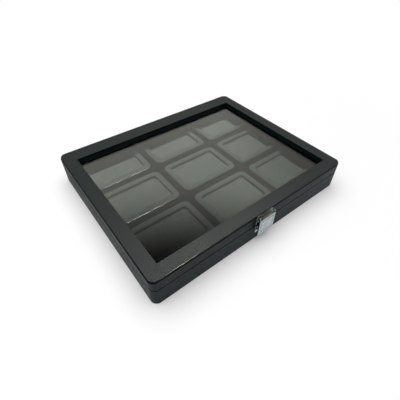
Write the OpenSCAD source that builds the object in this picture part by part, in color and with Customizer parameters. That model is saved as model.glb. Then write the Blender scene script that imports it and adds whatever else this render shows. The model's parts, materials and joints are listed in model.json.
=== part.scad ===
// Display case with a glazed lid, nine windowed gem boxes and a sprung flap latch.
// Frame: X along the front, Y towards the hinges, Z up, origin at the middle of the underside.

/* [Gem boxes] */
// Width of one gem box
box_w = 71; // [60:0.5:90]
// Depth of one gem box
box_d = 50; // [40:0.5:65]
// Height of a closed gem box
box_h = 18.2; // [16:0.1:18.6]
// Corner radius of a gem box in plan
box_corner_r = 7; // [4:0.5:9]
// Radius on the outer top edge of a gem box lid
box_edge_r = 0.8; // [0.4:0.1:1.4]
// Height of the gem box lid
box_lid_h = 6.6; // [5.6:0.1:7.6]
// Wall of the gem box lid and tray
box_wall = 1.2; // [0.8:0.1:1.6]
// Floor of the gem box tray
box_floor = 1.5; // [1:0.1:2.5]
// Width of the flat rim around a gem box window
rim_w = 6.25; // [4.5:0.25:8]
// Depth of the window pane below the rim
rim_t = 1.6; // [1:0.1:2]
// Corner radius of the rim opening
rim_corner_r = 3; // [1.5:0.5:5]
// Radius on the inner top edge of the rim
rim_edge_r = 0.5; // [0.2:0.1:0.8]
// Thickness of a gem box window pane
window_t = 1.2; // [0.8:0.1:1.6]
// Width of the pane hidden under the rim
window_lap = 2; // [1:0.25:2.5]
// Thickness of the pad in a gem box
pad_t = 7.7; // [5:0.1:8]
// Rise of the middle of the pad above its edges
pad_crown = 0.9; // [0.4:0.1:1.5]

/* [Layout] */
// Clear distance between gem boxes along the front
gap_x = 7.7; // [4:0.1:12]
// Clear distance between gem boxes from front to back
gap_y = 8.3; // [4:0.1:12]
// Divider width outside the end columns
margin_x = 5.3; // [3:0.1:15]
// Divider width outside the front and back rows
margin_y = 12.2; // [9:0.1:20]
// Height of the compartment divider
divider_h = 16; // [10:0.5:17]
// Play of a gem box in its compartment
pocket_play = 0.3; // [0.2:0.05:0.6]

/* [Base] */
// Wall thickness of base and lid
wall_t = 5.5; // [5:0.1:7]
// Corner radius inside the walls
inner_r = 1; // [0.5:0.1:3]
// Height of the base
base_h = 20.75; // [20:0.05:24]
// Thickness of the bottom panel
bottom_t = 3; // [2:0.1:3.4]
// Width of the rabbet that holds the bottom panel
rabbet_w = 2.5; // [1.5:0.1:3.5]
// Radius along the bottom edge
foot_edge_r = 0.6; // [0.3:0.1:2]
// Radius along both edges of the seam
seam_edge_r = 0.4; // [0.2:0.1:1.2]
// Open seam between base and lid
seam_gap = 0.6; // [0.3:0.05:0.8]

/* [Lid] */
// Height of the lid below its top frame
lid_wall_h = 11.85; // [10.5:0.05:14]
// Thickness of the top frame
top_frame_t = 1.2; // [0.9:0.1:3]
// Radius along the outer top edge
top_edge_r = 0.5; // [0.2:0.1:0.7]
// Radius along the window edge of the top frame
window_edge_r = 0.5; // [0.2:0.1:0.8]
// Corner radius of the window
window_corner_r = 0.8; // [0.5:0.1:3]
// Height of the groove under the top frame
groove_h = 0.8; // [0.4:0.1:1.2]
// Depth of the groove under the top frame
groove_d = 1.2; // [0.4:0.1:1.5]
// Frame width at the sides of the window
border_side = 13.5; // [12:0.1:18]
// Frame width at the front of the window
border_front = 13.7; // [12:0.1:18]
// Frame width at the back of the window
border_back = 19; // [14:0.1:22]
// Depth of the lid flange that the glass lies against
flange_t = 3.8; // [3:0.1:4.6]
// Thickness of the lid glass
glass_t = 2.5; // [2:0.1:3]
// Width of the glass hidden under the frame
glass_lap = 5; // [3:0.1:6]
// Thickness of the glass retainer
retainer_t = 2.2; // [1.5:0.1:2.6]

/* [Hinges] */
// Distance of the middle of a hinge from the side of the case
hinge_inset = 50; // [30:1:70]
// Length of a hinge
hinge_w = 26; // [20:0.5:36]
// Height of a hinge leaf
leaf_h = 7.6; // [7:0.1:8]
// Thickness of a hinge leaf
leaf_t = 0.9; // [0.7:0.05:1.2]
// Outer radius of the hinge barrel
barrel_r = 1.8; // [1.6:0.05:2.2]
// Radius of the hinge pin
hinge_pin_r = 0.9; // [0.7:0.05:1]
// Radius of a screw shank
screw_r = 0.9; // [0.6:0.05:1]
// Radius of a screw head
screw_head_r = 1.8; // [1.4:0.1:2]

/* [Latch] */
// Width of the latch
latch_w = 21; // [18:0.5:28]
// Height of the latch flap below its pin
flap_h = 21.7; // [18:0.1:23]
// Sheet thickness of the latch
sheet_t = 0.8; // [0.6:0.05:1]
// Pin height below the top of the lid
latch_drop = 2.3; // [2.2:0.1:3]
// Distance of the pin from the front face
latch_out = 2.75; // [2.7:0.05:3.6]
// Outer radius of the latch knuckles
knuckle_r = 1.6; // [1.3:0.05:1.7]
// Length of each flap knuckle
knuckle_w = 3.6; // [2.5:0.1:5]
// Radius of the latch pin
latch_pin_r = 0.75; // [0.5:0.05:0.9]
// Radius of a rivet head
rivet_head_r = 1.3; // [1:0.1:1.5]
// Radius of a rivet shank
rivet_r = 0.7; // [0.5:0.05:0.8]
// Width of the catch nose
nose_w = 12; // [8:0.5:14]

/* [Hidden] */
$fn = 64;
columns = 3;
rows = 3;
box_count = columns * rows;

// Running clearance round a pin or a shank
pin_play = 0.05;
// Clearance between parts that are fitted by hand
fit_play = 0.2;
// Clearance between moving sheet metal parts
sheet_play = 0.25;
// Small overlap that joins neighbouring shapes of one solid
weld = 0.01;

pitch_x = box_w + gap_x;
pitch_y = box_d + gap_y;
inner_w = columns * pitch_x - gap_x + 2 * margin_x;
inner_d = rows * pitch_y - gap_y + 2 * margin_y;
case_w = inner_w + 2 * wall_t;
case_d = inner_d + 2 * wall_t;
corner_r = wall_t + inner_r;
front_y = -case_d / 2;
back_y = case_d / 2;

lid_z = base_h + seam_gap;
frame_z = lid_z + lid_wall_h;
top_z = frame_z + top_frame_t;
glass_top = frame_z - flange_t;
seam_z = base_h + seam_gap / 2;

window_w = case_w - 2 * border_side;
window_d = case_d - border_front - border_back;
window_y = (border_front - border_back) / 2;

box_top = bottom_t + box_h;
box_lid_z = box_top - box_lid_h;
rim_opening_w = box_w - 2 * rim_w;
rim_opening_d = box_d - 2 * rim_w;
neck_inset = box_wall + fit_play;
cavity_inset = neck_inset + box_wall;
pane_top = box_top - rim_t;
neck_top = pane_top - window_t - 2 * fit_play;

hinge_span = case_w - 2 * hinge_inset;
hinge_y = back_y + barrel_r + sheet_play;
hinge_parts = 5;
hinge_gap = 0.3;
hinge_step = (hinge_w + hinge_gap) / hinge_parts;
leaf_edge = barrel_r + 2 * sheet_play;
screw_x = hinge_w / 2 - screw_head_r - 3;
screw_z = leaf_edge + (leaf_h - leaf_edge) / 2;
screw_head_h = 0.7;
screw_l = wall_t - 1;

latch_y = front_y - latch_out;
latch_z = top_z - latch_drop;
flap_in = latch_out + knuckle_r + sheet_play;
flap_out = flap_in + sheet_t;
flap_bottom = latch_z - flap_h;
centre_w = latch_w - 2 * knuckle_w - 2 * fit_play;
rivet_x = latch_w / 2 - sheet_t - rivet_head_r - 1;
rivet_head_h = 0.6;
rivet_l = wall_t - 1;
bracket_rivet_z = lid_z + lid_wall_h * 0.4;
bracket_bottom = lid_z + seam_edge_r;
catch_top = base_h - seam_edge_r;
catch_rivet_z = catch_top - rivet_head_r - 1;
nose_r = 1.2;
nose_z = flap_bottom + sheet_t + sheet_play + nose_r;

leatherette = "#2c2f31";
black_plastic = "#17181a";
flock = "#0c0c0d";
foam = "#141415";
clear = "#cfe3e0";
nickel = "#c3c9c9";

box_parts = ["tray", "pad", "lid", "window"];
sides = [["l", -1], ["r", 1]];

// Rectangle with round corners, centred on the origin
module rounded_rect(w, d, r) {
    square([w - 2 * r, d], center = true);
    square([w, d - 2 * r], center = true);
    for (x = [-1, 1])
        for (y = [-1, 1])
            translate([x * (w / 2 - r), y * (d / 2 - r)])
                circle(r);
}

// Flat plate with round corners from z to z + t
module rounded_plate(w, d, r, z, t) {
    translate([0, 0, z])
        linear_extrude(t)
            rounded_rect(w, d, r);
}

// Profile drawn inwards (x) and upwards (y), swept once round a rectangle with round corners
module swept_band(w, d, r) {
    for (turn = [0 : 3]) {
        long = turn % 2 == 0 ? w : d;
        across = turn % 2 == 0 ? d : w;
        rotate(turn * 90) {
            translate([r - long / 2, -across / 2, 0])
                rotate([90, 0, 90])
                    linear_extrude(long - 2 * r)
                        children();
            translate([long / 2 - r, -across / 2 + r, 0])
                rotate(-90)
                    rotate_extrude(angle = 90)
                        translate([r, 0])
                            mirror([1, 0])
                                children();
        }
    }
}

// Upright strip, its outer lower and outer upper edges rounded
module strip_profile(t, z0, z1, low_r, high_r) {
    translate([low_r, z0])
        square([t - low_r, z1 - z0]);
    translate([high_r, z0])
        square([t - high_r, z1 - z0]);
    translate([0, z0 + low_r])
        square([t, z1 - z0 - low_r - high_r]);
    translate([low_r, z0 + low_r])
        circle(low_r);
    translate([high_r, z1 - high_r])
        circle(high_r);
}

// Cylinder along X, centred on its length
module rod_x(r, l) {
    rotate([0, 90, 0])
        cylinder(r = r, h = l, center = true);
}

// Cylinder along Y from y = 0 to y = l
module rod_y(r, l) {
    rotate([-90, 0, 0])
        cylinder(r = r, h = l);
}

// Place of each gem box, numbered from the back left along the rows
module at_box(n) {
    column = (n - 1) % columns;
    row = floor((n - 1) / columns);
    translate([(column - (columns - 1) / 2) * pitch_x, ((rows - 1) / 2 - row) * pitch_y, 0])
        children();
}

// Screw places of both hinges on one leaf: side +1 is the lid, -1 the base
module at_screws(side) {
    for (s = sides)
        for (x = [-1, 1])
            translate([s[1] * hinge_span / 2 + x * screw_x, back_y, seam_z + side * screw_z])
                children();
}

// Rivet places at height z on the front face
module at_rivets(z) {
    for (x = [-1, 1])
        translate([x * rivet_x, front_y, z])
            children();
}

module base_wall_frame() {
    color(leatherette)
        difference() {
            swept_band(case_w, case_d, corner_r)
                difference() {
                    strip_profile(wall_t, 0, base_h, foot_edge_r, seam_edge_r);
                    translate([wall_t - rabbet_w, -1])
                        square([rabbet_w + 1, bottom_t + 1]);
                }
            at_screws(-1)
                translate([0, -screw_l - fit_play, 0])
                    rod_y(screw_r + pin_play, screw_l + 1);
            at_rivets(catch_rivet_z)
                translate([0, -1, 0])
                    rod_y(rivet_r + pin_play, rivet_l + fit_play + 1);
        }
}

module base_bottom_panel() {
    panel_play = pin_play * 2;
    panel_grow = 2 * (rabbet_w - panel_play);
    color(leatherette)
        rounded_plate(inner_w + panel_grow, inner_d + panel_grow, inner_r + rabbet_w - panel_play, 0, bottom_t);
}

module compartment_divider() {
    color(flock)
        difference() {
            rounded_plate(inner_w - 2 * fit_play, inner_d - 2 * fit_play, inner_r, bottom_t, divider_h);
            for (n = [1 : box_count])
                at_box(n)
                    rounded_plate(box_w + 2 * pocket_play, box_d + 2 * pocket_play,
                        box_corner_r + pocket_play, bottom_t - 1, divider_h + 2);
        }
}

module gem_box_tray(n) {
    color(black_plastic)
        at_box(n)
            difference() {
                union() {
                    rounded_plate(box_w, box_d, box_corner_r, bottom_t, box_lid_z - fit_play / 2 - bottom_t);
                    rounded_plate(box_w - 2 * neck_inset, box_d - 2 * neck_inset,
                        box_corner_r - neck_inset, bottom_t, neck_top - bottom_t);
                }
                rounded_plate(box_w - 2 * cavity_inset, box_d - 2 * cavity_inset,
                    box_corner_r - cavity_inset, bottom_t + box_floor, box_h);
            }
}

// Radius of a shallow arch with this width and rise
function arch_r(w, rise) = (w * w / 4 + rise * rise) / (2 * rise);

// Foam pad with a shallow crown both ways
module gem_box_pad(n) {
    pad_inset = cavity_inset + fit_play;
    pad_w = box_w - 2 * pad_inset;
    pad_d = box_d - 2 * pad_inset;
    pad_z = bottom_t + box_floor;
    across_r = arch_r(pad_w, pad_crown);
    along_r = arch_r(pad_d, pad_crown);
    color(foam)
        at_box(n)
            intersection() {
                rounded_plate(pad_w, pad_d, box_corner_r - pad_inset, pad_z, pad_t);
                translate([0, -pad_d, pad_z + pad_t - across_r])
                    rotate([-90, 0, 0])
                        cylinder(r = across_r, h = 2 * pad_d, $fn = 720);
                translate([0, 0, pad_z + pad_t - along_r])
                    rotate([0, 90, 0])
                        cylinder(r = along_r, h = 2 * pad_w, center = true, $fn = 720);
            }
}

module gem_box_lid(n) {
    rim_band = 2;
    color(black_plastic)
        at_box(n) {
            swept_band(box_w, box_d, box_corner_r)
                strip_profile(box_wall + box_edge_r / 4, pane_top, box_top, 0, box_edge_r);
            swept_band(box_w, box_d, box_corner_r)
                translate([0, box_lid_z])
                    square([box_wall, pane_top - box_lid_z + weld]);
            difference() {
                rounded_plate(box_w - 2 * box_wall, box_d - 2 * box_wall,
                    box_corner_r - box_wall, pane_top, rim_t);
                rounded_plate(rim_opening_w + 2, rim_opening_d + 2, rim_corner_r + 1, pane_top - 1, rim_t + 2);
            }
            swept_band(rim_opening_w, rim_opening_d, rim_corner_r)
                mirror([1, 0])
                    strip_profile(rim_band, pane_top, box_top, 0, rim_edge_r);
        }
}

module gem_box_window(n) {
    color(clear, 0.4)
        at_box(n)
            rounded_plate(rim_opening_w + 2 * window_lap, rim_opening_d + 2 * window_lap,
                rim_corner_r + window_lap / 2, pane_top - window_t, window_t);
}

// One hinge leaf with its knuckles: up is +1 for the lid, -1 for the base
module hinge_leaf(up, first) {
    difference() {
        union() {
            translate([-hinge_w / 2, back_y, up > 0 ? seam_z + leaf_edge : seam_z - leaf_h])
                cube([hinge_w, leaf_t, leaf_h - leaf_edge]);
            for (k = [first : 2 : hinge_parts - 1]) {
                x = -hinge_w / 2 + k * hinge_step;
                knuckle_l = hinge_step - hinge_gap;
                translate([x, back_y, up > 0 ? seam_z : seam_z - leaf_edge - weld])
                    cube([knuckle_l, leaf_t, leaf_edge + weld]);
                translate([x + knuckle_l / 2, hinge_y, seam_z])
                    rod_x(barrel_r, knuckle_l);
            }
        }
        translate([0, hinge_y, seam_z])
            rod_x(hinge_pin_r + pin_play, hinge_w + 2);
        for (x = [-1, 1])
            translate([x * screw_x, back_y - 1, seam_z + up * screw_z])
                rod_y(screw_r + pin_play, leaf_t + 2);
    }
}

module hinge_leaf_base(side) {
    color(nickel)
        translate([side * hinge_span / 2, 0, 0])
            hinge_leaf(-1, 0);
}

module hinge_leaf_lid(side) {
    color(nickel)
        translate([side * hinge_span / 2, 0, 0])
            hinge_leaf(1, 1);
}

module hinge_pin(side) {
    head_t = 0.5;
    color(nickel)
        translate([side * hinge_span / 2, hinge_y, seam_z]) {
            rod_x(hinge_pin_r, hinge_w + 2 * pin_play + head_t);
            for (x = [-1, 1])
                translate([x * (hinge_w / 2 + pin_play + head_t / 2), 0, 0])
                    rod_x(hinge_pin_r + 0.4, head_t);
        }
}

// Slotted pan head screws of both hinges on one leaf
module hinge_screws(up) {
    slot_w = 0.5;
    color(nickel)
        at_screws(up)
            difference() {
                union() {
                    translate([0, -screw_l, 0])
                        rod_y(screw_r, screw_l + leaf_t + weld);
                    translate([0, leaf_t, 0])
                        rod_y(screw_head_r, screw_head_h);
                }
                translate([-screw_head_r - 1, leaf_t + screw_head_h / 2, -slot_w / 2])
                    cube([2 * screw_head_r + 2, screw_head_h, slot_w]);
            }
}

module hinge_screws_base() {
    hinge_screws(-1);
}

module hinge_screws_lid() {
    hinge_screws(1);
}

// Plate on the front face from z0 to z1 with two rivet holes
module latch_plate(z0, z1, rivet_z) {
    difference() {
        translate([-latch_w / 2, front_y - sheet_t, z0])
            cube([latch_w, sheet_t, z1 - z0]);
        at_rivets(rivet_z)
            translate([0, -sheet_t - 1, 0])
                rod_y(rivet_r + pin_play, sheet_t + 2);
    }
}

module latch_rivets(z) {
    color(nickel)
        at_rivets(z) {
            translate([0, -sheet_t - weld, 0])
                rod_y(rivet_r, rivet_l + sheet_t);
            translate([0, -sheet_t, 0])
                rotate([90, 0, 0])
                    cylinder(r1 = rivet_head_r, r2 = rivet_head_r * 0.6, h = rivet_head_h);
        }
}

module latch_catch() {
    nose_out = flap_in - sheet_play - nose_r;
    color(nickel) {
        latch_plate(nose_z - nose_r - 0.6, catch_top, catch_rivet_z);
        translate([-nose_w / 2, front_y - nose_out, nose_z - nose_r])
            cube([nose_w, nose_out - sheet_t / 2, 2 * nose_r]);
        translate([0, front_y - nose_out, nose_z])
            rod_x(nose_r, nose_w);
    }
}

module latch_rivets_base() {
    latch_rivets(catch_rivet_z);
}

module lid_wall_frame() {
    color(leatherette)
        difference() {
            union() {
                swept_band(case_w, case_d, corner_r)
                    strip_profile(wall_t, lid_z, frame_z - groove_h, seam_edge_r, groove_h / 2);
                rounded_plate(case_w - 2 * groove_d, case_d - 2 * groove_d, corner_r - groove_d,
                    glass_top, flange_t);
            }
            translate([0, window_y, 0])
                rounded_plate(window_w, window_d, window_corner_r, glass_top - 1, flange_t + 2);
            at_screws(1)
                translate([0, -screw_l - fit_play, 0])
                    rod_y(screw_r + pin_play, screw_l + 1);
            at_rivets(bracket_rivet_z)
                translate([0, -1, 0])
                    rod_y(rivet_r + pin_play, rivet_l + fit_play + 1);
        }
}

module lid_top_frame() {
    edge_band = 4;
    color(leatherette) {
        swept_band(case_w, case_d, corner_r)
            strip_profile(edge_band, frame_z, top_z, top_edge_r / 2, top_edge_r);
        difference() {
            rounded_plate(case_w - edge_band, case_d - edge_band, corner_r - edge_band / 2, frame_z, top_frame_t);
            translate([0, window_y, 0])
                rounded_plate(window_w + edge_band, window_d + edge_band,
                    window_corner_r + edge_band / 2, frame_z - 1, top_frame_t + 2);
        }
        translate([0, window_y, 0])
            swept_band(window_w, window_d, window_corner_r)
                mirror([1, 0])
                    strip_profile(edge_band, frame_z, top_z, 0, window_edge_r);
    }
}

module lid_glass() {
    color(clear, 0.3)
        translate([0, window_y, 0])
            rounded_plate(window_w + 2 * glass_lap, window_d + 2 * glass_lap, 1, glass_top - glass_t, glass_t);
}

module lid_glass_retainer() {
    reveal = 1;
    color(leatherette)
        difference() {
            rounded_plate(inner_w - 2 * fit_play, inner_d - 2 * fit_play, inner_r,
                glass_top - glass_t - retainer_t, retainer_t);
            translate([0, window_y, 0])
                rounded_plate(window_w + 2 * reveal, window_d + 2 * reveal, 1,
                    glass_top - glass_t - retainer_t - 1, retainer_t + 2);
        }
}

// Plate on the lid with a shelf that is rolled into the centre knuckle
module latch_bracket() {
    color(nickel)
        difference() {
            union() {
                latch_plate(bracket_bottom, latch_z + knuckle_r, bracket_rivet_z);
                translate([-centre_w / 2, latch_y, latch_z + knuckle_r - sheet_t])
                    cube([centre_w, latch_out - sheet_t / 2, sheet_t]);
                translate([0, latch_y, latch_z])
                    rod_x(knuckle_r, centre_w);
            }
            translate([0, latch_y, latch_z])
                rod_x(latch_pin_r + pin_play, latch_w);
        }
}

module latch_pin() {
    color(nickel)
        translate([0, latch_y, latch_z])
            rod_x(latch_pin_r, latch_w - 0.4);
}

module latch_rivets_lid() {
    latch_rivets(bracket_rivet_z);
}

// Section of the flap across its width, drawn inwards from its face, both long edges folded back
module flap_section() {
    bend_r = 1;
    fold_d = 1.6;
    difference() {
        union() {
            translate([-latch_w / 2, bend_r])
                square([latch_w, fold_d - bend_r]);
            translate([bend_r - latch_w / 2, 0])
                square([latch_w - 2 * bend_r, fold_d]);
            for (x = [-1, 1])
                translate([x * (latch_w / 2 - bend_r), bend_r])
                    circle(bend_r);
        }
        translate([sheet_t - latch_w / 2, sheet_t])
            square([latch_w - 2 * sheet_t, fold_d]);
    }
}

// Pressed cover with folded edges, a lip below the catch nose, a raised border and a knuckle at each end
module latch_flap() {
    border_inset = 2.4;
    border_w = 0.8;
    border_t = 0.35;
    lip_d = 3;
    plate_h = flap_h - 0.2;
    color(nickel)
        difference() {
            union() {
                translate([0, front_y - flap_out, flap_bottom])
                    linear_extrude(plate_h)
                        flap_section();
                translate([sheet_t / 2 - latch_w / 2, front_y - flap_out + sheet_t / 2, flap_bottom])
                    cube([latch_w - sheet_t, lip_d - sheet_t / 2, sheet_t]);
                for (x = [-1, 1]) {
                    translate([x * (latch_w - knuckle_w) / 2, latch_y, latch_z])
                        rod_x(knuckle_r, knuckle_w);
                    translate([x * (latch_w - knuckle_w) / 2 - knuckle_w / 2, front_y - flap_in - weld,
                        latch_z - knuckle_r])
                        cube([knuckle_w, flap_in - latch_out + weld, sheet_t]);
                }
                translate([0, front_y - flap_out + weld, flap_bottom + plate_h / 2])
                    rotate([90, 0, 0])
                        linear_extrude(border_t)
                            difference() {
                                rounded_rect(latch_w - 2 * border_inset, plate_h - 2 * border_inset, 1.2);
                                rounded_rect(latch_w - 2 * border_inset - 2 * border_w,
                                    plate_h - 2 * border_inset - 2 * border_w, 0.6);
                            }
            }
            translate([0, latch_y, latch_z])
                rod_x(latch_pin_r + pin_play, latch_w + 2);
        }
}

base_wall_frame();
base_bottom_panel();
compartment_divider();
for (n = [1 : box_count]) {
    gem_box_tray(n);
    gem_box_pad(n);
    gem_box_lid(n);
    gem_box_window(n);
}
for (s = sides) {
    hinge_leaf_base(s[1]);
    hinge_leaf_lid(s[1]);
    hinge_pin(s[1]);
}
hinge_screws_base();
hinge_screws_lid();
lid_wall_frame();
lid_top_frame();
lid_glass();
lid_glass_retainer();
latch_catch();
latch_rivets_base();
latch_bracket();
latch_pin();
latch_rivets_lid();
latch_flap();
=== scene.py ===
import json
import math

import bmesh
import bpy
from mathutils import Matrix, Vector

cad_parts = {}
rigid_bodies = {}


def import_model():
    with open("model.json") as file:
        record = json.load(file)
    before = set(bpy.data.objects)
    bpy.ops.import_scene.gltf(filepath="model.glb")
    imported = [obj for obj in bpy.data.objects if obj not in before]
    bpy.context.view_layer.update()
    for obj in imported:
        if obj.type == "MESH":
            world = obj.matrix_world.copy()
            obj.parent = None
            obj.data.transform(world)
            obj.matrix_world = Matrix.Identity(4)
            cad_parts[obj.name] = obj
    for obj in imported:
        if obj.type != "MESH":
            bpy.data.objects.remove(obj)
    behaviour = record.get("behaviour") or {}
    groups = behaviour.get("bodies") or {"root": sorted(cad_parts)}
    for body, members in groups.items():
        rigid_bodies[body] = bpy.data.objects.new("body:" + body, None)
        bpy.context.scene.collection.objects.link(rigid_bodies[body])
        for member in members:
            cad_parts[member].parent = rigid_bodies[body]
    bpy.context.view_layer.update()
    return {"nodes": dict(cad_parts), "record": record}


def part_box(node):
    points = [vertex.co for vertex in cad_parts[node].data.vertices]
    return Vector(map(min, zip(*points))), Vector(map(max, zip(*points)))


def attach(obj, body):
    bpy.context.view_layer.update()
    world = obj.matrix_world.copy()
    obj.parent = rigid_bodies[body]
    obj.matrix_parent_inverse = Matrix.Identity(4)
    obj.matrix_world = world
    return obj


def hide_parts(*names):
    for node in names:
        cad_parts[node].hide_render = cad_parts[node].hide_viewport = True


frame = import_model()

mm = 0.001
boxNumbers = range(1, 10)
print("case frame loaded,", len(frame["nodes"]), "nodes")


# shader building: Tree adds nodes, Value turns sums on sockets into Math nodes
class Value:
    def __init__(self, tree, socket):
        self.tree = tree
        self.socket = socket

    def maths(self, operation, first, second):
        return self.tree.add("Math", {"operation": operation}, {0: first, 1: second})[0]

    def __add__(self, other):
        return self.maths("ADD", self, other)

    def __sub__(self, other):
        return self.maths("SUBTRACT", self, other)

    def __rsub__(self, other):
        return self.maths("SUBTRACT", other, self)

    def __mul__(self, other):
        return self.maths("MULTIPLY", self, other)

    __radd__ = __add__
    __rmul__ = __mul__


class Tree:
    def __init__(self, owner):
        owner.use_nodes = True
        self.tree = owner.node_tree
        self.tree.nodes.clear()

    # one node: its settings first, then what its sockets hold or link to
    def add(self, kind, settings, sockets):
        node = self.tree.nodes.new("ShaderNode" + kind)
        for name, value in settings.items():
            if name == "stops":
                self.setStops(node.color_ramp, value)
            else:
                setattr(node, name, value)
        for name, value in sockets.items():
            if isinstance(value, Value):
                self.tree.links.new(value.socket, node.inputs[name])
            else:
                node.inputs[name].default_value = value
        return Outputs(self, node)

    def setStops(self, ramp, stops):
        while len(ramp.elements) < len(stops):
            ramp.elements.new(0.5)
        for element, (place, colour) in zip(ramp.elements, stops):
            element.position = place
            element.color = colour

    def coords(self):
        return self.add("TexCoord", {}, {})["Object"]

    def mixColour(self, factor, first, second):
        return self.add("Mix", {"data_type": "RGBA"}, {0: factor, 6: first, 7: second})[2]

    # rises from 0 to 1 between the two ends of a range
    def ramp(self, value, ends, smooth=False):
        return self.add("MapRange", {"interpolation_type": "SMOOTHSTEP" if smooth else "LINEAR"},
                        {"Value": value, "From Min": ends[0], "From Max": ends[1]})["Result"]

    def clamp(self, value):
        return self.add("Clamp", {}, {"Value": value})[0]

    def bump(self, height, strength, distance):
        return self.add("Bump", {}, {"Height": height, "Strength": strength, "Distance": distance})["Normal"]

    def surface(self, shader, kind="OutputMaterial"):
        self.add(kind, {}, {"Surface": shader})


class Outputs:
    def __init__(self, tree, node):
        self.tree = tree
        self.node = node

    def __getitem__(self, name):
        return Value(self.tree, self.node.outputs[name])


def grey(level):
    return (level, level, level, 1)


def newMaterial(name):
    material = bpy.data.materials.new(name)
    return material, Tree(material)


# camera, at the height and side that the picture was taken from
cameraLook = {
    "azimuth": -39.08,
    "elevation": 42.62,
    "roll": 1.27,
    "distance": 0.367,
    "target": (0.0025, -0.006, 0),
    "lens": 27.4,
    "shift": (-0.0112, -0.043),
}


def addCamera(look):
    azimuth = math.radians(look["azimuth"])
    elevation = math.radians(look["elevation"])
    back = Vector((math.sin(azimuth) * math.cos(elevation), -math.cos(azimuth) * math.cos(elevation),
                   math.sin(elevation)))
    turn = back.to_track_quat("Z", "Y").to_matrix() @ Matrix.Rotation(math.radians(look["roll"]), 3, "Z")
    data = bpy.data.cameras.new("photoCamera")
    data.lens = look["lens"]
    data.sensor_width = 36
    data.shift_x, data.shift_y = look["shift"]
    data.clip_start = 0.01
    camera = bpy.data.objects.new("photoCamera", data)
    camera.matrix_world = Matrix.Translation(Vector(look["target"]) + back * look["distance"]) @ turn.to_4x4()
    bpy.context.scene.collection.objects.link(camera)
    bpy.context.scene.camera = camera


addCamera(cameraLook)
bpy.context.scene.view_settings.view_transform = "Standard"
print("camera placed")


# white walls with a dark ceiling for what shines, a white floor, a wide soft lamp overhead
# that casts the shadow, and two small lamps that only draw highlights, one on the leatherette
# and one on the gem boxes
studio = {
    "ambientColour": (0.2, 0.2, 0.2, 1),
    "wallColour": (0.868, 0.874, 0.796, 1),
    "ceilingColour": (0.01, 0.01, 0.01, 1),
    "ceilingRange": (0.66, 0.84),
    "dimSide": 0.52,
    "dimRange": (0.52, 0.76),
    "floorSize": 8.0,
    "floorColour": 0.97,
    "floorLift": 0.05,
    "floorFade": (0.22, 0.45),
    "mirrorFront": (-0.1, -0.115),
    "mirrorFrontLift": 0.85,
    "mirrorLeft": (-0.05, 0.09),
    "mirrorBeside": (-0.08, -0.14),
    "mirrorLeftDim": 0.5,
    "mirrorLeftColour": (0.45, 0.45, 0.45, 1),
}
softLamp = {
    "place": (-0.36, 0.25, 2.4),
    "target": (-0.36, 0.25, 0),
    "size": (4.0, 4.0),
    "power": 84.0,
    "colour": (1, 1, 1),
    "hiddenFrom": ["visible_glossy", "visible_transmission"],
}
sheenLamp = {
    "place": (0.55, 0.34, 2.1),
    "target": (0, 0, 0),
    "size": (0.45, 1.18),
    "power": 146.0,
    "colour": (1, 0.9, 0.78),
    "hiddenFrom": ["visible_diffuse"],
    "shinesOn": "leatherette",
}
lineLamp = {
    "place": (0.54, -0.85, 1.84),
    "target": (0, 0, 0),
    "size": (0.55, 0.5),
    "power": 185.0,
    "colour": (1, 0.97, 0.92),
    "hiddenFrom": ["visible_diffuse"],
    "shinesOn": "box_plastic",
}


def addWorld(look):
    world = bpy.data.worlds.new("studioWalls")
    bpy.context.scene.world = world
    tree = Tree(world)
    direction = tree.add("TexCoord", {}, {})["Generated"]
    parts = tree.add("SeparateXYZ", {}, {"Vector": direction})
    side = tree.ramp(parts["X"], look["dimRange"], True)
    ceiling = tree.ramp(parts["Z"], look["ceilingRange"], True)
    path = tree.add("LightPath", {}, {})
    shines = tree.clamp(path["Is Glossy Ray"] + path["Is Transmission Ray"])
    colour = tree.mixColour(ceiling, look["wallColour"], look["ceilingColour"])
    colour = tree.mixColour(side * look["dimSide"], colour, grey(0))
    colour = tree.mixColour(shines, look["ambientColour"], colour)
    colour = tree.mixColour(path["Is Camera Ray"], colour, grey(1))
    tree.surface(tree.add("Background", {}, {"Color": colour})["Background"], "OutputWorld")


# the floor glows white further out; for mirrored rays only it is painted lighter in front and darker at the left
# rear, a painted reflection on the case's sides
def addFloor(look):
    bpy.ops.object.select_all(action="DESELECT")
    bpy.ops.mesh.primitive_plane_add(size=look["floorSize"])
    floor = bpy.context.object
    floor.name = "floor"
    material, tree = newMaterial("floorWhite")
    path = tree.add("LightPath", {}, {})
    place = tree.coords()
    seen = tree.clamp(path["Is Camera Ray"] + path["Is Glossy Ray"] + path["Is Transmission Ray"])
    reach = tree.add("VectorMath", {"operation": "LENGTH"}, {0: place})["Value"]
    far = tree.ramp(reach, look["floorFade"], True) * (1 - look["floorLift"]) + look["floorLift"]
    parts = tree.add("SeparateXYZ", {}, {"Vector": place})
    mirrored = path["Is Glossy Ray"] * (1 - path["Is Transmission Ray"])
    front = tree.ramp(parts["Y"], look["mirrorFront"]) * mirrored
    left = tree.ramp(parts["Y"], look["mirrorLeft"]) * tree.ramp(parts["X"], look["mirrorBeside"]) * mirrored
    lift = tree.clamp(seen * far + front * look["mirrorFrontLift"] + left * look["mirrorLeftDim"])
    paper = tree.add("BsdfDiffuse", {}, {"Color": grey(look["floorColour"])})[0]
    glow = tree.add("Emission", {}, {"Color": tree.mixColour(left, grey(1), look["mirrorLeftColour"])})[0]
    tree.surface(tree.add("MixShader", {}, {0: lift, 1: paper, 2: glow})[0])
    floor.data.materials.append(material)


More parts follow.
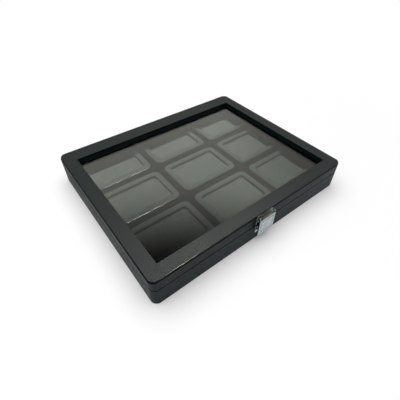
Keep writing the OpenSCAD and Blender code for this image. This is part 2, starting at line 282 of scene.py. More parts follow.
def addLamp(name, look):
    data = bpy.data.lights.new(name, "AREA")
    data.shape = "ELLIPSE"
    data.size, data.size_y = look["size"]
    data.energy = look["power"]
    data.color = look["colour"]
    lamp = bpy.data.objects.new(name, data)
    place = Vector(look["place"])
    away = (place - Vector(look["target"])).normalized()
    along = away.cross(Vector((1, 0, 0))).normalized()
    turn = Matrix((along.cross(away), along, away)).transposed()
    lamp.matrix_world = Matrix.Translation(place) @ turn.to_4x4()
    for ray in look["hiddenFrom"]:
        setattr(lamp, ray, False)
    bpy.context.scene.collection.objects.link(lamp)


addWorld(studio)
addFloor(studio)
addLamp("softLamp", softLamp)
addLamp("sheenLamp", sheenLamp)
addLamp("lineLamp", lineLamp)
print("studio set")


# black leatherette: pebbled grain with finer creases and a slightly uneven sheen, rubbed smooth
# along the front of the top edge, with painted shade, a near-black colour, in the groove and in the seam
leatherLook = {
    "dark": (0.003, 0.0058, 0.0066, 1),
    "light": (0.0086, 0.0138, 0.0154, 1),
    "pebble": 1300,
    "crease": 3600,
    "patch": 60,
    "bumpDepth": 0.12 * mm,
    "bumpStrength": 0.8,
    "wander": 0.6 * mm,
    "shine": 0.11,
    "shineTint": (0.85, 0.96, 1, 1),
    "roughness": 0.44,
    "roughnessSpread": 0.14,
    "mottle": 700,
    "mottleSpread": 0.6,
    "outline": (125 * mm, 101 * mm),
    "corner": 6.5 * mm,
    "rubbedFrom": 33.85 * mm,
    "rubbedDepth": 0.9 * mm,
    "rubbedFront": -98 * mm,
    "rubbed": 0.75,
    "rubbedCoat": 0.42,
    "coatRoughness": 0.12,
    "groove": (32.8 * mm, 0.45 * mm),
    "seam": (21.05 * mm, 0.72 * mm),
    "rawDepth": (0.05 * mm, 0.15 * mm),
    "rawBoard": (0.002, 0.002, 0.002, 1),
}


def makeLeatherette(look):
    material, tree = newMaterial("leatherette")
    place = tree.coords()
    wander = tree.add("TexNoise", {}, {"Vector": place, "Scale": look["pebble"] * 0.5, "Detail": 2})["Color"]
    moved = tree.add("VectorMath", {"operation": "MULTIPLY_ADD"},
                     {0: wander, 1: [look["wander"]] * 3, 2: place})[0]
    pebble = tree.add("TexVoronoi", {"feature": "SMOOTH_F1"},
                      {"Vector": moved, "Scale": look["pebble"], "Smoothness": 0.6})["Distance"]
    crease = tree.add("TexNoise", {}, {"Vector": place, "Scale": look["crease"], "Detail": 3})["Fac"]
    patch = tree.add("TexNoise", {}, {"Vector": place, "Scale": look["patch"], "Detail": 4})["Fac"]
    mottle = tree.add("TexNoise", {}, {"Vector": place, "Scale": look["mottle"], "Detail": 1})["Fac"]
    depth = wallDepth(tree, place, look)
    parts = tree.add("SeparateXYZ", {}, {"Vector": place})
    level = parts["Z"]
    edge = tree.ramp(depth, (look["rubbedDepth"] + 0.1 * mm, look["rubbedDepth"]))
    top = tree.ramp(level, (look["rubbedFrom"], look["rubbedFrom"] + 0.1 * mm))
    front = tree.add("Math", {"operation": "LESS_THAN"}, {0: parts["Y"], 1: look["rubbedFront"]})[0]
    edge = edge * top * front
    rubbed = edge * look["rubbed"]
    height = ((1 - pebble) * 0.8 + crease * 0.3 + mottle * 0.5) * (1 - rubbed)
    colour = tree.mixColour(height * 0.55 + patch * 0.3, look["dark"], look["light"])
    roughness = (patch - 0.5) * look["roughnessSpread"] + (mottle - 0.5) * look["mottleSpread"] + pebble * 0.12
    roughness = (roughness + look["roughness"]) * (1 - rubbed)
    normal = tree.bump(height, look["bumpStrength"], look["bumpDepth"])
    shader = tree.add("BsdfPrincipled", {}, {
        "Base Color": colour, "Roughness": roughness, "Specular IOR Level": look["shine"],
        "Specular Tint": look["shineTint"], "Coat Weight": edge * look["rubbedCoat"],
        "Coat Roughness": look["coatRoughness"], "Normal": normal})[0]
    # painted shade: a near-black diffuse is mixed in behind the outer wall, inside the groove and the seam, where
    # shade falls
    paintedShade = tree.add("BsdfDiffuse", {}, {"Color": look["rawBoard"]})[0]
    shadeMask = tree.ramp(depth, look["rawDepth"])
    gaps = [tree.add("Math", {"operation": "COMPARE"}, {0: level, 1: look[gap][0], 2: look[gap][1]})[0]
            for gap in ("groove", "seam")]
    tree.surface(tree.add("MixShader", {}, {0: shadeMask * (gaps[0] + gaps[1]), 1: shader, 2: paintedShade})[0])
    return material


# how far a point lies behind the case's outer wall, whose plan is a rounded rectangle
def wallDepth(tree, place, look):
    corner = look["corner"]
    reach = Vector((look["outline"][0] - corner, look["outline"][1] - corner, 0))
    plan = tree.add("VectorMath", {"operation": "MULTIPLY"}, {0: place, 1: (1, 1, 0)})[0]
    plan = tree.add("VectorMath", {"operation": "ABSOLUTE"}, {0: plan})[0]
    plan = tree.add("VectorMath", {"operation": "SUBTRACT"}, {0: plan, 1: reach})[0]
    plan = tree.add("VectorMath", {"operation": "MAXIMUM"}, {0: plan, 1: (0, 0, 0)})[0]
    outward = tree.add("VectorMath", {"operation": "LENGTH"}, {0: plan})["Value"]
    return corner - outward


# flock: matte fibre fuzz that swallows light
flockLook = {
    "dark": (0.001, 0.001, 0.0011, 1),
    "light": (0.0045, 0.0045, 0.0047, 1),
    "fibre": 5200,
    "nap": 140,
    "bumpDepth": 0.25 * mm,
}


def makeFlock(look):
    material, tree = newMaterial("flock")
    place = tree.coords()
    fibre = tree.add("TexNoise", {}, {"Vector": place, "Scale": look["fibre"], "Detail": 2})["Fac"]
    nap = tree.add("TexNoise", {}, {"Vector": place, "Scale": look["nap"], "Detail": 3})["Fac"]
    colour = tree.mixColour(fibre * 0.6 + nap * 0.4, look["dark"], look["light"])
    normal = tree.bump(fibre, 0.8, look["bumpDepth"])
    shader = tree.add("BsdfPrincipled", {}, {
        "Base Color": colour, "Roughness": 0.95, "Specular IOR Level": 0.01, "Normal": normal,
        "Sheen Weight": 0.01, "Sheen Roughness": 0.5})[0]
    tree.surface(shader)
    return material


# gem box plastic: polished black moulding with handling marks
plasticLook = {
    "dark": (0.002, 0.002, 0.0022, 1),
    "light": (0.005, 0.005, 0.0053, 1),
    "smear": 45,
    "scratch": 900,
    "markRange": (0.62, 0.8),
    "roughness": 0.02,
}


def makeBoxPlastic(look):
    material, tree = newMaterial("boxPlastic")
    place = tree.coords()
    stretched = tree.add("Mapping", {}, {"Vector": place, "Rotation": (0, 0, 0.6), "Scale": (1, 0.06, 1)})[0]
    scratch = tree.add("TexNoise", {}, {"Vector": stretched, "Scale": look["scratch"], "Detail": 3})["Fac"]
    smear = tree.add("TexNoise", {}, {"Vector": place, "Scale": look["smear"], "Detail": 4})["Fac"]
    marks = tree.ramp(scratch, look["markRange"])
    colour = tree.mixColour(smear, look["dark"], look["light"])
    roughness = smear * 0.06 + marks * 0.06 + look["roughness"]
    normal = tree.bump(scratch, 0.015, 0.02 * mm)
    shader = tree.add("BsdfPrincipled", {}, {
        "Base Color": colour, "Roughness": roughness, "Specular IOR Level": 1.0, "Normal": normal})[0]
    tree.surface(shader)
    return material


# pad foam: fine open cells
foamLook = {
    "dark": (0.0012, 0.0012, 0.0013, 1),
    "light": (0.006, 0.006, 0.0062, 1),
    "cell": 2600,
    "cloud": 90,
    "bumpDepth": 0.2 * mm,
}


def makePadFoam(look):
    material, tree = newMaterial("padFoam")
    place = tree.coords()
    cell = tree.add("TexVoronoi", {}, {"Vector": place, "Scale": look["cell"]})["Distance"]
    cloud = tree.add("TexNoise", {}, {"Vector": place, "Scale": look["cloud"], "Detail": 3})["Fac"]
    colour = tree.mixColour(cell * 0.8 + cloud * 0.3, look["dark"], look["light"])
    normal = tree.bump(cell, 0.7, look["bumpDepth"])
    shader = tree.add("BsdfPrincipled", {}, {
        "Base Color": colour, "Roughness": 0.92, "Specular IOR Level": 0.02, "Normal": normal})[0]
    tree.surface(shader)
    return material


# clear panes: float glass in the lid, thinner panes in the gem boxes; light that falls through them
# and what the plastic under them mirrors passes straight
paneLook = {
    "wipe": 35,
    "wipeRange": (0.45, 0.8),
    "wiped": (0.97, 0.98, 0.98, 1),
    "lidGlass": {"tint": (0.93, 0.97, 0.955, 1), "haze": 0.012, "index": 1.5},
    "boxWindow": {"tint": (0.95, 0.965, 0.965, 1), "haze": 0.02, "index": 1.62},
}


def makePane(name, shared):
    look = shared[name]
    material, tree = newMaterial(name)
    cloth = tree.add("TexNoise", {}, {"Vector": tree.coords(), "Scale": shared["wipe"], "Detail": 5})["Fac"]
    wiped = tree.ramp(cloth, shared["wipeRange"])
    colour = tree.mixColour(wiped * 0.5, look["tint"], shared["wiped"])
    shader = tree.add("BsdfPrincipled", {}, {
        "Base Color": colour, "Roughness": wiped * look["haze"], "IOR": look["index"], "Transmission Weight": 1.0})[0]
    clear = tree.add("BsdfTransparent", {}, {"Color": look["tint"]})[0]
    path = tree.add("LightPath", {}, {})
    outside = 1 - tree.add("NewGeometry", {}, {})["Backfacing"]
    mirrored = path["Is Glossy Ray"] * (1 - path["Is Transmission Ray"])
    passing = mirrored * (outside + path["Transparent Depth"])
    straight = tree.clamp(passing + path["Is Shadow Ray"])
    tree.surface(tree.add("MixShader", {}, {0: straight, 1: shader, 2: clear})[0])
    return material


# bright nickel plate with a faint drawn grain and dulled patches, tarnished on the roll of the latch
nickelLook = {
    "bright": (0.335, 0.39, 0.4, 1),
    "dull": (0.247, 0.29, 0.298, 1),
    "tarnish": (0.12, 0.114, 0.104, 1),
    "tarnishFrom": 31.95 * mm,
    "tarnishHalf": 6.7 * mm,
    "grain": 2400,
    "stain": 160,
    "stainRange": (0.4, 0.75),
    "roughness": 0.11,
}


def makeNickel(look):
    material, tree = newMaterial("nickel")
    place = tree.coords()
    drawn = tree.add("Mapping", {}, {"Vector": place, "Scale": (0.05, 1, 1)})[0]
    grain = tree.add("TexNoise", {}, {"Vector": drawn, "Scale": look["grain"], "Detail": 3})["Fac"]
    stain = tree.add("TexNoise", {}, {"Vector": place, "Scale": look["stain"], "Detail": 4})["Fac"]
    worn = tree.ramp(stain, look["stainRange"])
    parts = tree.add("SeparateXYZ", {}, {"Vector": place})
    rolled = tree.ramp(parts["Z"], (look["tarnishFrom"], look["tarnishFrom"] + 0.25 * mm))
    middle = tree.add("Math", {"operation": "COMPARE"}, {0: parts["X"], 1: 0, 2: look["tarnishHalf"]})[0]
    tarnish = tree.clamp(rolled * middle * (stain * 0.6 + 0.6))
    colour = tree.mixColour(worn * 0.8, look["bright"], look["dull"])
    colour = tree.mixColour(tarnish, colour, look["tarnish"])
    roughness = grain * 0.1 + worn * 0.14 + look["roughness"]
    normal = tree.bump(grain, 0.12, 0.03 * mm)
    shader = tree.add("BsdfPrincipled", {}, {
        "Base Color": colour, "Metallic": 1.0, "Roughness": roughness, "Normal": normal})[0]
    tree.surface(shader)
    return material


finish = {
    "leatherette": makeLeatherette(leatherLook),
    "flock": makeFlock(flockLook),
    "box_plastic": makeBoxPlastic(plasticLook),
    "pad_foam": makePadFoam(foamLook),
    "glass": makePane("lidGlass", paneLook),
    "window_pane": makePane("boxWindow", paneLook),
    "nickel": makeNickel(nickelLook),
}
slotOf = {part["node"]: part["material_slot"] for part in frame["record"]["subparts"]}
for nodeName, nodeObject in frame["nodes"].items():
    nodeObject.data.materials.clear()
    nodeObject.data.materials.append(finish[slotOf[nodeName]])
print("finishes set on the frame")

# hand modelling: one piece in edit mode at a time, its faces and edges picked by place or normal
bodyOf = {node: body for body, nodes in frame["record"]["behaviour"]["bodies"].items() for node in nodes}


def selectOnly(piece):
    bpy.ops.object.select_all(action="DESELECT")
    piece.select_set(True)
    bpy.context.view_layer.objects.active = piece


def startEdit(piece, kind="FACE"):
    selectOnly(piece)
    bpy.ops.object.mode_set(mode="EDIT")
    bpy.ops.mesh.select_mode(type=kind)
    bpy.ops.mesh.select_all(action="DESELECT")


def endEdit():
    bpy.ops.object.mode_set(mode="OBJECT")


def pickFaces(piece, test):
    bpy.ops.mesh.select_all(action="DESELECT")
    mesh = bmesh.from_edit_mesh(piece.data)
    for face in mesh.faces:
        if test(face.calc_center_median(), face.normal):
            face.select_set(True)
    mesh.select_flush_mode()
    bmesh.update_edit_mesh(piece.data)


# bend is the angle between an edge's two faces, in degrees
def pickEdges(piece, test):
    bpy.ops.mesh.select_all(action="DESELECT")
    mesh = bmesh.from_edit_mesh(piece.data)
    for edge in mesh.edges:
        start, end = (corner.co for corner in edge.verts)
        bend = math.degrees(edge.calc_face_angle(0))
        if test((start + end) / 2, (end - start).normalized(), bend):
            edge.select_set(True)
    mesh.select_flush_mode()
    bmesh.update_edit_mesh(piece.data)


def addBlock(name, low, high):
    bpy.ops.object.select_all(action="DESELECT")
    bpy.ops.mesh.primitive_cube_add(size=1, location=(low + high) / 2, scale=high - low)
    block = bpy.context.object
    block.name = name
    bpy.ops.object.transform_apply(location=True, rotation=True, scale=True)
    return block


# a rod lies along the X axis, or along Y when its turn is about X
def addRod(name, middle, radius, length, sides=40, turn=(0, math.pi / 2, 0)):
    bpy.ops.object.select_all(action="DESELECT")
    bpy.ops.mesh.primitive_cylinder_add(vertices=sides, radius=radius, depth=length, location=middle, rotation=turn)
    rod = bpy.context.object
    rod.name = name
    bpy.ops.object.transform_apply(location=True, rotation=True, scale=True)
    return rod


def applyModifier(piece, kind, settings):
    selectOnly(piece)
    modifier = piece.modifiers.new("shape", kind)
    for name, value in settings.items():
        setattr(modifier, name, value)
    bpy.ops.object.modifier_apply(modifier=modifier.name)


def roundUprights(piece, radius, steps):
    startEdit(piece, "EDGE")
    pickEdges(piece, lambda middle, along, bend: abs(along.z) > 0.99)
    bpy.ops.mesh.bevel(offset=radius, segments=steps)
    endEdit()


def softenEdges(piece, width, steps, angle=35):
    applyModifier(piece, "BEVEL", {"width": width, "segments": steps, "limit_method": "ANGLE",
                                   "angle_limit": math.radians(angle)})


def cutAway(piece, cutter, operation="DIFFERENCE"):
    applyModifier(piece, "BOOLEAN", {"operation": operation, "object": cutter, "solver": "EXACT"})
    bpy.data.objects.remove(cutter)


def joinPieces(first, others):
    selectOnly(first)
    for other in others:
        other.select_set(True)
    bpy.ops.object.join()


def copyTo(piece, name, shift):
    selectOnly(piece)
    bpy.ops.object.duplicate()
    twin = bpy.context.object
    twin.name = name
    twin.location = shift
    bpy.ops.object.transform_apply(location=True, rotation=True, scale=True)
    return twin


# a finished piece takes the finish, the body and the place of its node
def standFor(piece, node, angle=40):
    selectOnly(piece)
    bpy.ops.object.shade_smooth_by_angle(angle=math.radians(angle))
    applyModifier(piece, "WEIGHTED_NORMAL", {"keep_sharp": True})
    piece.data.materials.clear()
    piece.data.materials.append(finish[slotOf[node]])
    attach(piece, bodyOf[node])
    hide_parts(node)


# what repeats in every gem box is modelled in the first box and copied to the other eight
def fillBoxes(piece, part, name):
    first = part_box(f"gem_box_{part}_1")[0]
    twins = [piece]
    for number in boxNumbers[1:]:
        twins.append(copyTo(piece, f"{name}{number}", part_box(f"gem_box_{part}_{number}")[0] - first))
    for number, twin in zip(boxNumbers, twins):
        standFor(twin, f"gem_box_{part}_{number}")
    return twins


# gem box lid: a skirt, a flat rim with a rolled outer edge, and an opening for the pane
gemLid = {
    "cornerRadius": 7 * mm,
    "cornerSteps": 9,
    "rimInset": 4 * mm,
    "opening": (58.5 * mm, 37.5 * mm),
    "openingDepth": 1.55 * mm,
    "outerEdge": 0.55 * mm,
    "innerEdge": 0.06 * mm,
    "wall": 1.1 * mm,
}


def modelGemLid(look):
    low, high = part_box("gem_box_lid_1")
    middle = (low + high) / 2
    piece = addBlock("gemBoxLid1", low, high)
    roundUprights(piece, look["cornerRadius"], look["cornerSteps"])
    startEdit(piece)
    pickFaces(piece, lambda place, normal: normal.z > 0.9)
    bpy.ops.mesh.inset(thickness=look["rimInset"])
    bpy.ops.mesh.inset(thickness=0)
    stretch = [look["opening"][axis] / (high[axis] - low[axis] - 2 * look["rimInset"]) for axis in (0, 1)]
    bpy.ops.transform.resize(value=(stretch[0], stretch[1], 1), center_override=(middle.x, middle.y, high.z))
    bpy.ops.mesh.extrude_region_move(TRANSFORM_OT_translate={"value": (0, 0, -look["openingDepth"])})
    bpy.ops.mesh.delete(type="FACE")
    pickFaces(piece, lambda place, normal: normal.z < -0.9)
    bpy.ops.mesh.delete(type="FACE")
    bpy.ops.mesh.select_mode(type="EDGE")
    reach = [look["opening"][axis] / 2 + 1 * mm for axis in (0, 1)]

    def onTop(place, bend):
        return place.z > high.z - 0.01 * mm and bend > 60

    def outside(place):
        return abs(place.x - middle.x) > reach[0] or abs(place.y - middle.y) > reach[1]

    pickEdges(piece, lambda place, along, bend: onTop(place, bend) and outside(place))
    bpy.ops.mesh.bevel(offset=look["outerEdge"], segments=5)
    pickEdges(piece, lambda place, along, bend: onTop(place, bend) and not outside(place))
    bpy.ops.mesh.bevel(offset=look["innerEdge"], segments=2)
    endEdit()
    applyModifier(piece, "SOLIDIFY", {"thickness": look["wall"], "offset": -1, "use_even_offset": True})
    return piece


fillBoxes(modelGemLid(gemLid), "lid", "gemBoxLid")
print("gem box lids modelled")

# gem box pane: a clear plate with polished edges
gemPane = {"cornerRadius": 4 * mm, "cornerSteps": 6, "edge": 0.2 * mm}


def modelGemPane(look):
    low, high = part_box("gem_box_window_1")
    piece = addBlock("gemBoxPane1", low, high)
    roundUprights(piece, look["cornerRadius"], look["cornerSteps"])
    softenEdges(piece, look["edge"], 2)
    return piece


fillBoxes(modelGemPane(gemPane), "window", "gemBoxPane")
print("gem box panes modelled")

# foam pad: swollen by a short cloth run, its underside held flat on the floor of the tray
gemPad = {
    "shrink": 0.9 * mm,
    "cornerRadius": 4 * mm,
    "edge": 1.6 * mm,
    "voxel": 1.6 * mm,
    "pressure": 4,
    "frames": 20,
    "mostMove": 0.8 * mm,
    "fill": 0.7,
}


def modelGemPad(look):
    low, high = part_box("gem_box_pad_1")
    shrink = look["shrink"]
    piece = addBlock("gemBoxPad1", low + Vector((shrink, shrink, 0)), high - Vector((shrink, shrink, shrink)))
    roundUprights(piece, look["cornerRadius"], 5)
    softenEdges(piece, look["edge"], 3)
    applyModifier(piece, "REMESH", {"mode": "VOXEL", "voxel_size": look["voxel"]})
    swell(piece, look)
    applyModifier(piece, "SUBSURF", {"levels": 1, "render_levels": 1})
    return piece


def swell(piece, look):
    rest = [corner.co.copy() for corner in piece.data.vertices]
    floor = min(place.z for place in rest)
    held = piece.vertex_groups.new(name="held")
    held.add([number for number, place in enumerate(rest) if place.z < floor + 0.4 * mm], 1, "REPLACE")
    cloth = piece.modifiers.new("swell", "CLOTH")
    cloth.settings.vertex_group_mass = "held"
    cloth.settings.use_pressure = True
    cloth.settings.uniform_pressure_force = look["pressure"]
    cloth.settings.effector_weights.gravity = 0
    scene = bpy.context.scene
    for number in range(1, look["frames"] + 1):
        scene.frame_set(number)
    swollen = piece.evaluated_get(bpy.context.evaluated_depsgraph_get()).data
    moves = [corner.co - place for corner, place in zip(swollen.vertices, rest)]
    piece.modifiers.remove(cloth)
    scene.frame_set(1)
    print("pad swells by up to", round(max(move.length for move in moves) / mm, 3), "mm")
    for corner, place, move in zip(piece.data.vertices, rest, moves):
        if move.length > look["mostMove"]:
            move = move.normalized() * look["mostMove"]
        corner.co = place + move


for pad in fillBoxes(modelGemPad(gemPad), "pad", "gemBoxPad"):
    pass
print("gem box pads modelled")

# flocked divider: nine pockets cut through a thick board, their top edges rolled over
dividerLook = {
    "boardCorner": 1 * mm,
    "pocketPlay": 0.3 * mm,
    "pocketCorner": 7.3 * mm,
    "pocketSteps": 8,
    "edge": 0.9 * mm,
}


def modelDivider(look):
    low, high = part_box("compartment_divider")
    piece = addBlock("compartmentDivider", low, high)
    roundUprights(piece, look["boardCorner"], 3)
    play = look["pocketPlay"]
    trayLow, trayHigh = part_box("gem_box_tray_1")
    pocket = addBlock("pocket", Vector((trayLow.x - play, trayLow.y - play, low.z - 1 * mm)),
                      Vector((trayHigh.x + play, trayHigh.y + play, high.z + 1 * mm)))
    roundUprights(pocket, look["pocketCorner"], look["pocketSteps"])
    pockets = [copyTo(pocket, "pocket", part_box(f"gem_box_tray_{number}")[0] - trayLow) for number in boxNumbers[1:]]
    joinPieces(pocket, pockets)
    cutAway(piece, pocket)
    startEdit(piece, "EDGE")
    pickEdges(piece, lambda place, along, bend: place.z > high.z - 0.01 * mm and bend > 60)
    bpy.ops.mesh.bevel(offset=look["edge"], segments=4)
    endEdit()
    return piece


standFor(modelDivider(dividerLook), "compartment_divider")
print("divider modelled")

# latch flap: a pressed sheet with folded edges and a raised border, hung on two rolled knuckles
flapLook = {
    "sheet": 0.8 * mm,
    "bend": 1 * mm,
    "fold": 1.6 * mm,
    "lip": 2.6 * mm,
    "lipBend": 0.6 * mm,
    "plateTop": 21.5 * mm,
    "borderInset": 1.4 * mm,
    "borderDrop": 2.4 * mm,
    "borderSlope": 0.2 * mm,
    "borderWidth": 0.4 * mm,
    "borderRise": 0.34 * mm,
    "knuckleRadius": 1.6 * mm,
    "knuckleLength": 1.3 * mm,
    "knuckleBore": 0.8 * mm,
    "edge": 0.12 * mm,
}


def modelFlap(look):
    low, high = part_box("latch_flap")
    pinLow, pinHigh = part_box("latch_pin")
    pin = (pinLow + pinHigh) / 2
    face = low.y + look["borderRise"]
    top = low.z + look["plateTop"]
    piece = addBlock("latchFlap", Vector((low.x, face, low.z)), Vector((high.x, face + look["fold"], top)))
    startEdit(piece)
    pickFaces(piece, lambda place, normal: normal.y > 0.9 or abs(normal.z) > 0.9)
    bpy.ops.mesh.delete(type="FACE")
    bpy.ops.mesh.select_mode(type="EDGE")
    pickEdges(piece, lambda place, along, bend: bend > 60)
    bpy.ops.mesh.bevel(offset=look["bend"], segments=5)

    def lowEdge(place, along):
        return place.z < low.z + 0.01 * mm and abs(along.x) > 0.9 and place.y < face + 0.01 * mm

    pickEdges(piece, lambda place, along, bend: lowEdge(place, along))
    bpy.ops.mesh.extrude_edges_move(TRANSFORM_OT_translate={"value": (0, look["lip"], 0)})
    pickEdges(piece, lambda place, along, bend: lowEdge(place, along))
    bpy.ops.mesh.bevel(offset=look["lipBend"], segments=4)
    bpy.ops.mesh.select_mode(type="FACE")
    pickFaces(piece, lambda place, normal: normal.y < -0.99)
    bpy.ops.mesh.inset(thickness=look["borderInset"], use_boundary=True)
    half = (top - low.z) / 2
    bpy.ops.transform.resize(value=(1, 1, (half - look["borderDrop"]) / (half - look["borderInset"])),
                             center_override=(0, face, low.z + half))
    bpy.ops.mesh.inset(thickness=look["borderSlope"], depth=look["borderRise"])
    bpy.ops.mesh.inset(thickness=look["borderWidth"])
    bpy.ops.mesh.inset(thickness=look["borderSlope"], depth=-look["borderRise"])
    endEdit()
    applyModifier(piece, "SOLIDIFY", {"thickness": look["sheet"], "offset": -1, "use_even_offset": True})
    softenEdges(piece, look["edge"], 2, 50)
    for side in (-1, 1):
        place = Vector((side * (high.x - look["knuckleLength"] / 2), pin.y, pin.z))
        cutAway(piece, rollKnuckle("flapKnuckle", place, look["knuckleLength"], face + look["sheet"], look), "UNION")
    return piece


# one rolled knuckle with the tab that carries it
def rollKnuckle(name, place, length, plate, look):
    half = Vector((length / 2, 0, 0))
    radius = look["knuckleRadius"]
    tab = addBlock(name, Vector((place.x, plate - 0.1 * mm, place.z - radius)) - half,
                   Vector((place.x, place.y, place.z - radius + look["sheet"])) + half)
    roll = addRod("knuckleRoll", place, radius, length)
    softenEdges(roll, look["edge"], 2, 50)
    cutAway(roll, tab, "UNION")
    cutAway(roll, addRod("knuckleBore", place, look["knuckleBore"], length * 2, 24))
    return roll


standFor(modelFlap(flapLook), "latch_flap", 30)
print("latch flap modelled")

# latch bracket and catch: stamped plates with rolled front edges, a shelf rolled round the pin, a nose
stampLook = {
    "sheet": 0.8 * mm,
    "corner": 0.5 * mm,
    "edge": 0.25 * mm,
    "rollRadius": 1.6 * mm,
    "rollLength": 13.4 * mm,
    "rollBore": 0.8 * mm,
    "noseRadius": 1.2 * mm,
    "noseLength": 12 * mm,
    "noseFoot": 0.6 * mm,
    "rollEdge": 0.15 * mm,
    "noseEdge": 0.2 * mm,
}


def stampPlate(name, low, high, look):
    front = high.y - look["sheet"]
    piece = addBlock(name, Vector((low.x, front, low.z)), high)
    startEdit(piece, "EDGE")
    pickEdges(piece, lambda place, along, bend: abs(along.y) > 0.99)
    bpy.ops.mesh.bevel(offset=look["corner"], segments=5)
    pickEdges(piece, lambda place, along, bend: place.y < front + 0.01 * mm and bend > 60)
    bpy.ops.mesh.bevel(offset=look["edge"], segments=3)
    endEdit()
    return piece


def modelBracket(look):
    low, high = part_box("latch_bracket")
    pinLow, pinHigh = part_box("latch_pin")
    pin = (pinLow + pinHigh) / 2
    half = look["rollLength"] / 2
    piece = stampPlate("latchBracket", low, high, look)
    roll = addRod("roll", pin, look["rollRadius"], look["rollLength"])
    softenEdges(roll, look["rollEdge"], 2, 50)
    cutAway(roll, addBlock("shelf", Vector((-half, pin.y, high.z - look["sheet"])),
                           Vector((half, high.y - look["sheet"] / 2, high.z))), "UNION")
    cutAway(piece, roll, "UNION")
    cutAway(piece, addRod("bore", pin, look["rollBore"], look["rollLength"] + 2 * mm))
    return piece


def modelCatch(look):
    low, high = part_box("latch_catch")
    radius = look["noseRadius"]
    half = look["noseLength"] / 2
    middle = Vector((0, low.y + radius, low.z + look["noseFoot"] + radius))
    piece = stampPlate("latchCatch", low, high, look)
    nose = addRod("nose", middle, radius, look["noseLength"])
    cutAway(nose, addBlock("noseWeb", Vector((-half, middle.y, middle.z - radius)),
                           Vector((half, high.y - look["sheet"] / 2, middle.z + radius))), "UNION")
    softenEdges(nose, look["noseEdge"], 2, 50)
    cutAway(piece, nose, "UNION")
    return piece


standFor(modelBracket(stampLook), "latch_bracket", 30)
standFor(modelCatch(stampLook), "latch_catch", 30)
print("latch plates modelled")

# domed rivets of the latch and slotted screws of the hinges
rivetLook = {"headRadius": 1.3 * mm, "headHeight": 0.6 * mm, "dome": 0.5 * mm, "shankRadius": 0.7 * mm}
screwLook = {"headRadius": 1.8 * mm, "headHeight": 0.7 * mm, "dome": 0.45 * mm, "shankRadius": 0.9 * mm,
             "slotWidth": 0.5 * mm, "slotDepth": 0.35 * mm}


# side is -1 for a head that faces the front and 1 for one that faces the back
def modelFastener(name, look, low, high, side):
    head = low.y if side < 0 else high.y
    middle = Vector(((low.x + high.x) / 2, head - side * look["headHeight"] / 2, (low.z + high.z) / 2))
    piece = addRod(name, middle, look["headRadius"], look["headHeight"], 28, (math.pi / 2, 0, 0))
    startEdit(piece)
    pickFaces(piece, lambda place, normal: normal.y * side < -0.9)
    bpy.ops.mesh.inset(thickness=look["headRadius"] - look["shankRadius"])
    length = high.y - low.y - look["headHeight"]
    bpy.ops.mesh.extrude_region_move(TRANSFORM_OT_translate={"value": (0, -side * length, 0)})
    bpy.ops.mesh.select_mode(type="EDGE")
    pickEdges(piece, lambda place, along, bend: abs(place.y - head) < 0.01 * mm and bend > 60)
    bpy.ops.mesh.bevel(offset=look["dome"], segments=5)
    endEdit()
    if "slotWidth" in look:
        reach = Vector((look["headRadius"] * 1.5, look["slotDepth"], look["slotWidth"] / 2))
        mouth = Vector((middle.x, head, middle.z))
        cutAway(piece, addBlock("slot", mouth - reach, mouth + reach))
    return piece


def modelFasteners(node, name, look, side):
    pieces = [modelFastener(name, look, low, high, side) for low, high in looseParts(node, look["headRadius"])]
    joinPieces(pieces[0], pieces[1:])
    standFor(pieces[0], node, 35)


# boxes of the separate solids of one node, from left to right
def looseParts(node, radius):
    low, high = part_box(node)
    across = sorted(corner.co.x for corner in frame["nodes"][node].data.vertices)
    starts = [across[0]] + [b for a, b in zip(across, across[1:]) if b - a > radius]
    return [(Vector((start, low.y, low.z)), Vector((start + 2 * radius, high.y, high.z))) for start in starts]


modelFasteners("latch_rivets_lid", "latchRivetsLid", rivetLook, -1)
modelFasteners("latch_rivets_base", "latchRivetsBase", rivetLook, -1)
modelFasteners("hinge_screws_lid", "hingeScrewsLid", screwLook, 1)
modelFasteners("hinge_screws_base", "hingeScrewsBase", screwLook, 1)
print("rivets and screws modelled")

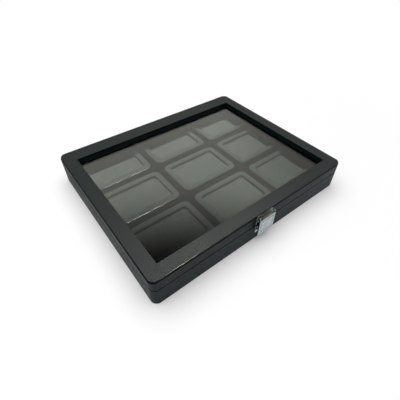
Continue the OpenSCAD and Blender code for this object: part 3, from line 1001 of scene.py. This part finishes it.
# stamped and cut parts keep the solid's form and get broken edges
brokenEdges = {
    "latch_pin": 0.15 * mm,
    "hinge_leaf_base_l": 0.12 * mm,
    "hinge_leaf_base_r": 0.12 * mm,
    "hinge_leaf_lid_l": 0.12 * mm,
    "hinge_leaf_lid_r": 0.12 * mm,
    "hinge_pin_l": 0.12 * mm,
    "hinge_pin_r": 0.12 * mm,
    "base_wall_frame": 0.15 * mm,
    "lid_wall_frame": 0.15 * mm,
    "lid_top_frame": 0.12 * mm,
    "lid_glass": 0.3 * mm,
    "lid_glass_retainer": 0.4 * mm,
    "base_bottom_panel": 0.4 * mm,
}

# the top frame stands this far back from the wall under it, so that the groove shows from above
setBack = {"lid_top_frame": (0.6 * mm, 0.35 * mm)}


def breakEdges(node, width):
    words = node.split("_")
    piece = bpy.data.objects.new(words[0] + "".join(word.title() for word in words[1:]),
                                 frame["nodes"][node].data.copy())
    bpy.context.scene.collection.objects.link(piece)
    startEdit(piece)
    bpy.ops.mesh.select_all(action="SELECT")
    bpy.ops.mesh.remove_doubles(threshold=0.001 * mm)
    bpy.ops.mesh.dissolve_limited(angle_limit=math.radians(0.5))
    if node in setBack:
        low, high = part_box(node)
        shrink = [1 - 2 * setBack[node][axis] / (high[axis] - low[axis]) for axis in (0, 1)]
        bpy.ops.mesh.select_all(action="SELECT")
        bpy.ops.transform.resize(value=(shrink[0], shrink[1], 1), center_override=(low + high) / 2)
    endEdit()
    softenEdges(piece, width, 2)
    standFor(piece, node, 35)


for nodeName, edgeWidth in brokenEdges.items():
    breakEdges(nodeName, edgeWidth)
print("cut parts modelled")


# a highlight lamp reaches only the pieces that have its finish
def keepLampTo(name, look):
    shining = bpy.data.collections.new(name + "Pieces")
    for piece in bpy.context.scene.objects:
        if piece.type == "MESH" and piece.data.materials[0] == finish[look["shinesOn"]]:
            shining.objects.link(piece)
    bpy.data.objects[name].light_linking.receiver_collection = shining


keepLampTo("sheenLamp", sheenLamp)
keepLampTo("lineLamp", lineLamp)
print("highlights set")
